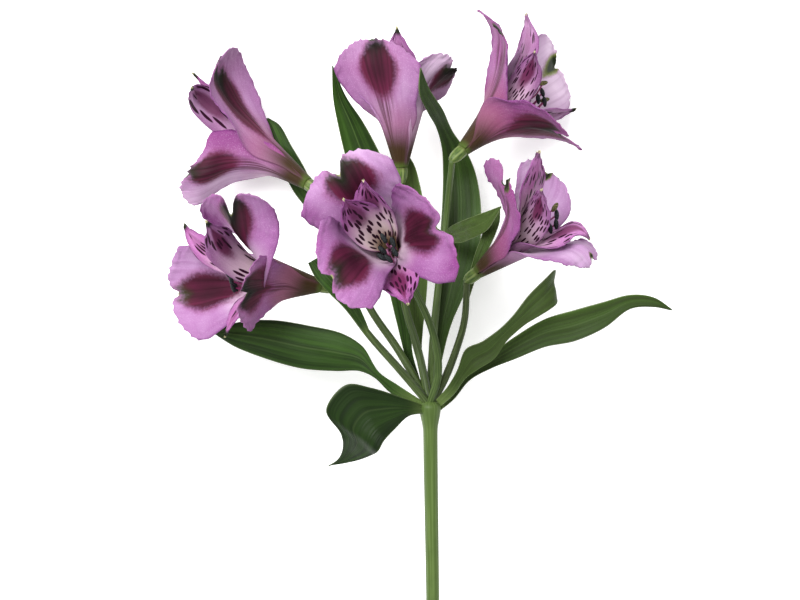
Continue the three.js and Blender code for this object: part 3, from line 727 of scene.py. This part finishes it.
INNER_MARKS = {
    "1": [(0.5, 6, 0.2, 1, 0.2, 0.4), (0.5, 6, 0.25, 1, 0.8, 1.1), (0.5, 6, 0.3, 1, 0.5, 0.5)],
    "2": [(0.6, 7, 0.2, 1, 0.2, 0.6), (0.5, 7, 0.3, 1, 0.5, 0.5), (0.5, 7, 0.3, 1, 0.5, 0.5)],
    "3": [(0.4, 9, 0.9, 0.3, 0.3, 1), (0.35, 10, 1, 0.4, 0.9, 0.9), (0.5, 8, 0.4, 1, 0.3, 1)],
    "4": [(0.4, 6, 0.6, 1, 0.3, 0.2), (0.4, 7, 1.3, 1, 0.9, 0.8), (0.3, 6, 0.5, 1, 0.4, 0.6)],
    "5": [(0.1, 7, 1, 0, 0.8, 0.6), (0.15, 7, 0.9, 0, 0.7, 0.5), (0.2, 8, 0.2, 0.2, 0.9, 0.4)],
    "6": [(0.4, 9, 0.7, 0.6, 0.3, 0.6), (0.35, 10, 1.1, 0.4, 0.9, 0.9), (0.4, 8, 0.3, 0.6, 0.8, 0.8)],
}

# %% [markdown]
# The petals of one flower share a mesh and its four finishes: outer and inner petals, each with a back and an
# inner face. Solidify gives a petal its thickness and paints the side towards the axis with the next finish.

# %% Build the petals
OUTER_PETALS = 3
PETAL_THICKNESS = 0.35
OUTER_GRID = (40, 80)
INNER_GRID = (24, 64)

for flower in FLOWERS:
    name = flower.name
    bm = bmesh.new()
    for number, petal in enumerate(flower.petals):
        petal.seed = int(name) + number / 6
        seed = petal.seed % 1 + int(name) * 0.13
        surface = petal_surface(flower, petal)
        if number < OUTER_PETALS:
            row = OUTER_MARKS[name][number]
            marks = {"mark": row[:3], "stain": row[3:6], "mood": (seed, *row[6:8]), "sides": (*row[8:], 0)}
            add_grid(bm, OUTER_GRID, surface, numbers=marks)
        else:
            *mark, dark_tip, streak, paleness = INNER_MARKS[name][number - OUTER_PETALS]
            marks = {"mark": mark, "stain": (dark_tip, 0, 0), "mood": (seed, paleness, streak)}
            add_grid(bm, INNER_GRID, surface, material=2, numbers=marks)
    finished(bm, f"bloom_{name}", PETAL_FINISHES, [f"petals_{name}"], thickness=PETAL_THICKNESS)

# %% [markdown]
# Stalks, ovaries and stamens are tubes along a path. A path is a smooth curve through a few points, and each
# ring of the tube needs two directions square to it. Carrying the last ring's direction on to the next,
# instead of working each out anew, keeps the tube from twisting.

# %% Tubes along a path
CURVE_STEPS = 400


def spline(points, share):
    """A smooth curve through the points, with share from 0 to 1. It is a centripetal Catmull-Rom spline."""
    place = min(max(share, 0.0), 1.0) * (len(points) - 1)
    first = min(int(place), len(points) - 2)
    x = place - first
    p1, p2 = points[first], points[first + 1]
    p0 = points[first - 1] if first else 2 * p1 - p2
    p3 = points[first + 2] if first + 2 < len(points) else 2 * p2 - p1
    d0, d1, d2 = [max((b - a).length, 1e-6) ** 0.5 for a, b in ((p0, p1), (p1, p2), (p2, p3))]
    leave = ((p1 - p0) / d0 - (p2 - p0) / (d0 + d1) + (p2 - p1) / d1) * d1
    arrive = ((p2 - p1) / d1 - (p3 - p1) / (d1 + d2) + (p3 - p2) / d2) * d1
    square = 3 * (p2 - p1) - 2 * leave - arrive
    cube = 2 * (p1 - p2) + leave + arrive
    return p1 + leave * x + square * x**2 + cube * x**3


def even_points(points, steps):
    """steps + 1 points at even distances along the smooth curve."""
    fine = [spline(points, n / CURVE_STEPS) for n in range(CURVE_STEPS + 1)]
    run = [0.0]
    for a, b in zip(fine, fine[1:]):
        run.append(run[-1] + (b - a).length)
    even, at = [], 0
    for n in range(steps + 1):
        target = run[-1] * n / steps
        while at < len(run) - 2 and run[at + 1] < target:
            at += 1
        share = (target - run[at]) / max(run[at + 1] - run[at], 1e-9)
        even.append(fine[at].lerp(fine[at + 1], min(share, 1.0)))
    return even


def tube_surface(centres, radius_at):
    last = len(centres) - 1
    across, frames = V(0.3, 0.2, 1), []
    for n, centre in enumerate(centres):
        tangent = (centres[min(n + 1, last)] - centres[max(n - 1, 0)]).normalized()
        across = (across - tangent * across.dot(tangent)).normalized()
        frames.append((centre, across, tangent.cross(across)))

    def point_at(u, t):
        centre, right, up = frames[round(t * last)]
        turn = math.pi * (u + 1)
        return centre + (right * math.cos(turn) + up * math.sin(turn)) * radius_at(turn, t)

    return point_at


def add_tube(bm, grid, points, radius_at, numbers=None):
    """radius_at(turn, t) is the radius in millimetres, with turn in radians round the tube."""
    surface = tube_surface(even_points(points, grid[1]), radius_at)
    add_grid(bm, grid, surface, numbers=numbers, tube=True)


# %% [markdown]
# The stalk is a fresh yellow-green with fine lengthwise streaks and a soft bloom, and it swells at the node
# where the leaves and flower stalks leave it. The streaks are noise on a cylinder: the sine and cosine of the
# angle round the stalk, so that the pattern closes, and a slow third coordinate along it. `mood` holds how
# light a stalk is and how brown.

# %% Stalk finish


def round_streaks(finish, across, along, fineness, pace):
    """Streaks along a tube, from 0 to 1, with no seam."""
    turn = across * math.pi
    x, y = turn.math("COSINE") * fineness, turn.math("SINE") * fineness
    return finish.noise(finish.vector(x, y, along * pace), detail=3.0)


def stalk_skin():
    finish = Finish("stalk skin", 0.42)
    across, along = finish.grain()
    tint, brown, _ = finish.numbers("mood")
    streaks = round_streaks(finish, across, along, 3.0, 6.0)
    mottle = finish.object_noise(90.0, 3.0)
    colour = finish.layer(tint, "2F4020", "52682F")
    colour = finish.wash(colour, "667C45", streaks, 0.42, 0.7, 0.6)
    colour = finish.wash(colour, "33451F", mottle, 0.5, 0.75, 0.3)
    colour = finish.layer(brown, colour, "4A4630")
    finish.bump(streaks, 0.0002)
    return finish.paint(colour)


STALK_SKIN = stalk_skin()

# %% [markdown]
# The stalk and the flower stalks share one mesh, as they grow as one. Each flower stalk ends a little way
# inside its ovary.

# %% Build the stalk
# A pair is the radius at the foot and at the top.
STALK_RADIUS = (2.4, 2.9)
FLOWER_STALK_RADIUS = (1.7, 1.25)
NODE_RADIUS = 4.4
OVARY_LENGTH = 6.5
OVARY_RADIUS = 2.6
SEAT_GAP = 0.3
STALK_TUCK = 0.8
STALK_TINT = 0.75
STALK_GRID = (28, 160)
FLOWER_STALK_GRID = (16, 60)

STALK_PATH = [
    V(2, -195, -48.1), V(2, -130, -32), V(1.4, -80, -19.5),
    V(0.5, -30, -7), V(0.2, -10, -2), V(0, 3, 0.4),
]
# How light each flower stalk is and how brown, and the points that it passes on the way to its ovary.
FLOWER_STALKS = {
    "1": (0.35, 0.1, [V(-12.8, 21.9, -6), V(-23.3, 37.1, -12), V(-36.5, 62.4, -18)]),
    "2": (0.15, 0.1, [V(-4.8, 21.9, -4), V(-10.4, 42, -6), V(-12, 70.2, -5)]),
    "3": (0.45, 0.05, [V(1.4, 25.8, -12), V(4.3, 54.2, -18), V(7.2, 78.8, -20)]),
    "4": (0.15, 0.15, [V(-12, 14.1, 4), V(-24.7, 28.5, 6)]),
    "5": (0.3, 0, [V(3.1, 14.2, 8), V(0.6, 30.2, 12)]),
    "6": (0.05, 0.25, [V(5.6, 10.1, 2), V(10.3, 22.1, 4), V(13.6, 34, 6)]),
}


def main_radius(turn, t):
    swelling = smoothstep(t, 0.93, 0.985)
    end = 1 - 0.75 * smoothstep(t, 0.985, 1.0)
    ribs = 1 + 0.018 * math.cos(7 * turn)
    return lerp(lerp(*STALK_RADIUS, t), NODE_RADIUS, swelling) * end * ribs


def flower_stalk_radius(turn, t):
    return lerp(*FLOWER_STALK_RADIUS, t) * (1 + 0.05 * math.cos(5 * turn))


bm = bmesh.new()
add_tube(bm, STALK_GRID, STALK_PATH, main_radius, {"mood": (STALK_TINT, 0, 0)})
for flower in FLOWERS:
    tint, brown, points = FLOWER_STALKS[flower.name]
    end = flower.base - flower.axis * (OVARY_LENGTH + SEAT_GAP - STALK_TUCK)
    path = [V(0, 0, 0), *points, end]
    add_tube(bm, FLOWER_STALK_GRID, path, flower_stalk_radius, {"mood": (tint, brown, 0)})
finished(bm, "green_stalk", [STALK_SKIN], ["stalk"])

# %% [markdown]
# Under each flower sits its ovary: a small yellow-green urn with six ribs. It is the same kind of tube, along
# the flower's axis, and reaches a little way in between the feet of the petals. `URN` gives its outline, as
# places along it with the radius there, and the curve between them is smooth.

# %% Ovaries
OVARY_GRID = (48, 24)
OVARY_REACH = 0.3
RIB_DEPTH = 0.07
URN = [(0.0, 0.5), (0.12, 0.72), (0.3, 0.94), (0.5, 1.02), (0.75, 1.04), (0.9, 1.02), (1.0, 0.97)]


def urn_radius(turn, t):
    for (t0, r0), (t1, r1) in zip(URN, URN[1:]):
        if t <= t1:
            size = lerp(r0, r1, smoothstep(t, t0, t1))
            furrow = RIB_DEPTH * (1 - abs(math.cos(3 * turn))) * math.sin(math.pi * t)
            return OVARY_RADIUS * size * (1 - furrow)


def ovary_skin():
    finish = Finish("ovary skin", 0.38)
    across, along = finish.grain()
    ribs = abs((across * (3 * math.pi)).math("COSINE"))
    streaks = round_streaks(finish, across, along, 4.0, 3.0)
    colour = finish.wash("40542A", "5C7034", streaks, 0.35, 0.7)
    colour = finish.wash(colour, "85935A", ribs, 0.8, 1.0, 0.6)
    colour = finish.wash(colour, "55592E", along, 0.75, 1.0, 0.7)
    return finish.paint(colour)


bm = bmesh.new()
for flower in FLOWERS:
    foot = flower.base - flower.axis * (OVARY_LENGTH + SEAT_GAP)
    ends = [foot, flower.base + flower.axis * OVARY_REACH]
    add_tube(bm, OVARY_GRID, ends, urn_radius)
finished(bm, "ovaries", [ovary_skin()], [f"ovary_{flower.name}" for flower in FLOWERS])

# %% [markdown]
# Six stamens stand in each throat, round the style. A filament is a thin pink tube, and the anther on its end
# is a plump pod with a groove: a UV sphere, squeezed and turned. Anthers are nearly black until they open,
# and olive with pollen after that. `OPENED` lists the stamens that have opened, flower by flower, and how far
# each anther leans towards the flower's back.

# %% Stamens
ANTHER_LENGTH = 4.4
ANTHER_WIDTH = 2.0
STAMENS = 6
FOOT_HEIGHT = 1.9
STYLE_HEIGHT = 14.9
STYLE_RADIUS = (0.6, 0.25)
FILAMENT_RADIUS = (0.5, 0.32)
STYLE_GRID = (8, 8)
FILAMENT_GRID = (10, 24)
OPENED = {"3": {3: -0.5, 5: -0.5}, "6": {5: 0.35}}


def filament_skin():
    finish = Finish("filament", 0.45)
    _, along = finish.grain()
    return finish.paint(finish.wash("B98AA8", "7A2E58", along, 0.2, 0.9))


def anther_skin(name, skin, pollen):
    finish = Finish(name, 0.6)
    dust = finish.object_noise(2600.0, 3.0)
    finish.bump(dust, 0.0003)
    return finish.paint(finish.wash(skin, pollen, dust, 0.4, 0.7))


def tapered(foot, tip):
    return lambda turn, t: lerp(foot, tip, t)


def in_flower(flower, height, along_back, along_side):
    """A point by its height above the flower's foot, and how far it lies off the axis."""
    return flower.base + flower.axis * height + flower.back * along_back + flower.side * along_side


def filament_path(flower, number, ring_back, ring_side):
    reach = flower.stamen_length * (0.86 + 0.05 * number)
    droop = flower.droop
    return [
        in_flower(flower, FOOT_HEIGHT + 5, 0.35 * ring_back, 0.35 * ring_side),
        in_flower(flower, reach * 0.55, 1.5 * ring_back - 0.3 * droop, 1.5 * ring_side),
        in_flower(flower, reach * 0.85, 2.4 * ring_back - 0.9 * droop, 2.4 * ring_side),
        in_flower(flower, reach, 3.2 * ring_back - 0.8 * droop, 3.4 * ring_side),
    ]


def add_anther(bm, tip, lie, facing, material):
    """A pod with its middle at tip, lying along lie, with its groove towards facing."""
    lie = lie.normalized()
    facing = (facing - lie * facing.dot(lie)).normalized()
    aside = lie.cross(facing)
    pod = bmesh.ops.create_uvsphere(bm, u_segments=16, v_segments=10, radius=1.0)["verts"]
    for corner in pod:
        x, y, z = corner.co
        groove = 1 - 0.28 * math.exp(-((x / 0.3) ** 2)) * (1 if y > 0 else 0.3)
        offset = (aside * x + facing * y * groove) * 0.5 * ANTHER_WIDTH
        corner.co = placed(tip + offset + lie * z * 0.5 * ANTHER_LENGTH)
    dressed_faces(pod, material)


STAMEN_FINISHES = [
    filament_skin(),
    anther_skin("closed anther", "0E1112", "2A3032"),
    anther_skin("open anther", "3B3722", "7C7748"),
]
for flower in FLOWERS:
    name = flower.name
    opened = OPENED.get(name, {})
    bm = bmesh.new()
    style = [in_flower(flower, FOOT_HEIGHT, 0, 0), in_flower(flower, STYLE_HEIGHT, 0, -0.2)]
    add_tube(bm, STYLE_GRID, style, tapered(*STYLE_RADIUS))
    for number in range(STAMENS):
        turn = math.pi * (2 * number + 1) / STAMENS
        path = filament_path(flower, number, math.cos(turn), math.sin(turn))
        add_tube(bm, FILAMENT_GRID, path, tapered(*FILAMENT_RADIUS))
        if number in opened:
            lie = flower.axis + flower.back * opened[number]
            add_anther(bm, path[-1], lie, flower.side, material=2)
        else:
            lie = flower.back * 0.8 + flower.axis * 0.5 + flower.side * 0.3 * math.sin(turn)
            add_anther(bm, path[-1], lie, flower.axis, material=1)
    bmesh.ops.recalc_face_normals(bm, faces=bm.faces)
    finished(bm, f"stamens_of_{name}", STAMEN_FINISHES, [f"stamens_{name}"])

# %% [markdown]
# Leaves are strap-shaped, dark green above and grey-green below, with fine parallel veins, a paler midrib and
# a thin pale margin. A leaf's `mood` is a seed for its veins, how pale it is and how deep its green is.
# `sides` starts with its painted side shade: how much darker the leaf is painted at its right margin than at
# its midrib, for the way light falls across it.

# %% Leaf finishes


def leaf_skin(name, deep, pale, rib_strength, roughness):
    finish = Finish(name, roughness, shine=0.12)
    across, along = finish.grain()
    side = abs(across)
    (seed, paleness, depth), (painted_side_shade, _, _) = finish.numbers("mood"), finish.numbers("sides")
    lines = veins(finish, across, along, seed, 20.0)
    broad = veins(finish, across, along, seed, 3.0)
    colour = finish.wash(deep, pale, broad, 0.28, 0.72)
    colour = finish.wash(colour, pale, finish.object_noise(45.0, 3.0), 0.4, 0.7, 0.3)
    colour = finish.layer(paleness, colour, "66783F")
    colour = finish.wash(colour, "4D6433", lines, 0.45, 0.7, 0.14)
    colour = finish.wash(colour, "667F48", side, 0.06, 0.01, rib_strength)
    colour = finish.wash(colour, "7F8F60", side, 0.955, 0.99, 0.6)
    colour = finish.wash(colour, "6C8245", along, 0.16, 0.0, 0.8)
    # The leaf darkens towards near-black green by its depth. Its side shade also paints it darker towards one
    # margin, as painted shade for the way light falls across the blade.
    colour = finish.layer(depth + painted_side_shade * across, colour, "0D1908")
    finish.bump(lines, 0.0003)
    return finish.paint(colour)


LEAF_FINISHES = [
    leaf_skin("leaf, upper face", "15240B", "36541D", 0.25, 0.42),
    leaf_skin("leaf, underside", "2D441A", "5F7941", 0.35, 0.5),
]

# %% [markdown]
# Each leaf hangs between two rails, its left and right margins, because a leaf of this kind twists and folds,
# and its margins are what one sees of that. A leaf has four numbers and then its rails. The first sinks its
# midrib below the margins. The others are its paleness, for leaves that show their grey side, its depth and
# its side shade, which paints one half of the blade darker for the way light falls on it. Each row of six is
# a point of the left margin and the one across from it, from foot to tip, in millimetres from the node.

# %% Build the leaves
LEAVES = {
    "leaf_1": (0.16, 0, 0.05, 0, [
        (-2.4, 1.2, 0, -3.2, -0.8, 0), (-12.4, 7.5, -3, -15.2, 4.3, -3),
        (-20.5, 13, -6, -22.1, 10.6, -6), (-27.3, 23.4, -8, -28.2, 13.3, -9),
        (-35, 28.3, -9, -38.3, 13.3, -11), (-48.4, 31.5, -10, -52.5, 14.4, -12),
        (-64.7, 33.9, -12, -68.1, 18.8, -14), (-77, 33.1, -14, -78.8, 22.9, -16),
        (-88.2, 29.4, -17, -88.2, 28.6, -17),
    ]),
    "leaf_2": (0.1, 0, 0.6, 0, [
        (-2.4, -3.2, 2, -2.8, 0, 2), (-8.4, -4.3, 3, -8.4, 2.1, 4),
        (-14.4, -9.7, 5, -23.1, 7.1, 8), (-18.4, -14, 7, -33.4, 8.4, 10),
        (-20.3, -17.5, 7, -41.3, -1.6, 9), (-23.2, -19.9, 2, -35.5, -11.4, 3),
        (-28.1, -21.9, -4, -34.9, -17, -3), (-34.2, -23.9, -9, -37, -22.2, -9),
        (-40.8, -25.1, -13, -41, -25.4, -13),
    ]),
    "leaf_3": (0.2, 0.2, 0.2, 0.25, [
        (2.4, 1.2, 0, 4, -2.4, 0), (7.2, 5.2, 0, 9.6, 2.4, 0),
        (13.6, 13.6, 0, 16, 10, 0), (22.8, 19.2, 0, 24.8, 14.8, 0),
        (33.9, 27.2, 1, 34, 18.4, 0), (45.9, 34.4, 2, 45.9, 23.2, 1),
        (57.8, 38, 3, 57.8, 25.6, 2), (69.2, 41.2, 4, 69.3, 30.8, 3),
        (79.6, 44, 4, 79.6, 38.4, 4), (89, 43.2, 2, 89, 39.2, 2),
        (97, 38.4, -2, 97, 37.8, -2),
    ]),
    "leaf_4": (0.16, 0.3, 0.25, 0, [
        (2.3, 2.2, 4, 4.3, -0.2, 4), (7.1, 7.8, 5, 9.5, 4.6, 5),
        (10.6, 13.8, 7, 14.2, 11, 6), (14.1, 22.6, 11, 18.9, 14.6, 8),
        (20.8, 25.8, 12, 25.6, 19, 9), (27.4, 30.6, 13, 29.9, 25.4, 10),
        (32.5, 35.7, 14, 36.2, 31.3, 11), (38, 42.8, 14, 42.5, 35.3, 11),
        (44.4, 49.5, 13, 47.7, 38.4, 10), (49.3, 53.9, 10, 50.7, 41.2, 7),
        (48.7, 48.4, 1, 48.7, 46.4, 1),
    ]),
    "leaf_5": (0.16, 0.1, 0.2, 0, [
        (-1.2, 1.1, -3, 1.2, 1.1, -3), (0.1, 7.7, -7, 3.3, 7.7, -7),
        (1.4, 17.7, -12, 5, 17.7, -12), (1.9, 31.8, -17, 8.8, 31.8, -17),
        (2.3, 46.1, -21, 15, 46.1, -21), (4, 62.5, -24, 20.4, 62.5, -24),
        (5.3, 79.1, -27, 21.4, 79.1, -27), (5.8, 93.6, -29, 19.4, 93.6, -29),
        (5.3, 103.7, -25, 15.2, 103.3, -26), (3.1, 111.3, -17, 9.6, 110.6, -19),
        (-1, 117.1, 1, 5.2, 118.2, -2), (-4.5, 123.7, 18, -0.1, 124.5, 15),
        (-4.2, 131.9, 27, -3.8, 131.9, 27),
    ]),
    "leaf_6": (0.16, 0, 0, 0, [
        (-3.4, 0.5, -3, -2, 1.8, -3), (-6.8, 8.5, -8, -3.9, 9.7, -8),
        (-10.4, 20.9, -13, -7.1, 21.7, -13), (-13.6, 33.8, -17, -6.7, 34.7, -17),
        (-17.7, 50.2, -20, -7.5, 50.2, -20), (-23.9, 68.6, -21, -10.4, 70.7, -21),
        (-30, 87.1, -22, -14.5, 89.1, -22), (-34.5, 101.4, -21, -20.6, 102.6, -21),
        (-37.3, 113.5, -19, -27.1, 114.7, -19), (-39.3, 124.3, -17, -34, 125.1, -17),
        (-39.6, 137, -13, -39.2, 137, -13),
    ]),
    "leaf_7": (0.14, 0.35, 0, 0, [
        (-1.5, 1.4, -5, 0.5, 1.4, -5), (-2.7, 10.5, -9, -0.3, 10.5, -9),
        (-5.9, 19.7, -12, -3.1, 20.9, -12), (-7.9, 27.8, -13, -2.7, 29.8, -13),
        (-10.4, 42, -13, -1.4, 42, -13), (-12.4, 58.2, -13, -0.6, 58.2, -13),
        (-13.2, 74.5, -13, -1.4, 74.5, -13), (-13.6, 88.6, -12, -3.9, 88.6, -12),
        (-12.4, 97.5, -11, -6.3, 96.7, -11), (-10.4, 101.9, -10, -9.6, 101.9, -10),
    ]),
    "bract_1": (0.14, 0, 0, 0, [
        (-39.5, 66.6, -18.6, -37.5, 68.3, -18.6), (-48.3, 77.1, -26, -44.2, 79.9, -26),
        (-55.9, 86.7, -32, -48, 89.2, -31), (-61, 96, -35, -52.3, 98, -34),
        (-65.7, 106.5, -36, -57.3, 106.4, -35), (-68.6, 115.2, -39, -62.3, 115.1, -38),
        (-69.3, 118, -40, -66.9, 118, -40),
    ]),
    "bract_3": (0.14, 0.35, 0.1, 0, [
        (5.1, 68.8, -19.4, 6.3, 66.8, -19.4), (9.4, 72.3, -11, 10.6, 65, -11),
        (15.6, 74.8, -1, 17.2, 66.8, -1), (21.8, 77, 4, 23, 70.3, 4),
        (28.1, 79.3, 6, 28.3, 79, 6),
    ]),
    "bract_4": (0.14, 0, 0, 0, [
        (-25.4, 27.4, 6, -23.9, 29.3, 6), (-29.3, 32.9, 12, -26.6, 36.1, 12),
        (-34.4, 39.3, 17, -30.1, 43.6, 17), (-40.2, 45.1, 18, -34.7, 49.8, 18),
        (-45.3, 51, 18, -39.4, 54.5, 18), (-48.1, 56.5, 17, -44.6, 58.5, 17),
    ]),
    "bract_6": (0.14, 0.3, 0.15, 0, [
        (13.2, 42, 6.6, 15.2, 42, 6.6), (15.2, 50, 0.5, 18.4, 50.8, 0.5),
        (17.9, 60, -1, 22.7, 60.8, -1), (20.7, 67.5, -2, 25.9, 67.5, -2),
        (23.1, 73.9, -3, 27.9, 73.1, -3), (27.5, 79.5, -4, 28.3, 78.7, -4),
    ]),
}
LEAF_THICKNESS = 0.45
LEAF_GRID = (24, 90)
# This leaf is turned over, so its two finishes change places.
TURNED = ["leaf_1"]


def leaf_surface(rails, channel, seed):
    left = [V(*row[:3]) for row in rails]
    right = [V(*row[3:]) for row in rails]

    def point_at(u, t):
        start, end = spline(left, t), spline(right, t)
        across = end - start
        step = 0.01 if t < 0.99 else -0.01
        along = (spline(left, t + step) + spline(right, t + step) - start - end) * (1 if step > 0 else -1)
        face = across.cross(along).normalized()
        sunk = channel * across.length * (1 - u * u) / 2
        ripple = 0.5 * noise.noise(V(u * 1.5, t * 9, seed)) * min(across.length / 8, 1)
        return start + across * (u + 1) / 2 + face * (ripple - sunk)

    return point_at


for number, (name, leaf) in enumerate(LEAVES.items()):
    channel, paleness, depth, painted_side_shade, rails = leaf
    bm = bmesh.new()
    marks = {"mood": (number * 0.29, paleness, depth), "sides": (painted_side_shade, 0, 0)}
    add_grid(bm, LEAF_GRID, leaf_surface(rails, channel, seed=number * 3.7), numbers=marks)
    finishes = LEAF_FINISHES[::-1] if name in TURNED else LEAF_FINISHES
    finished(bm, f"{name}_blade", finishes, [name], thickness=LEAF_THICKNESS)
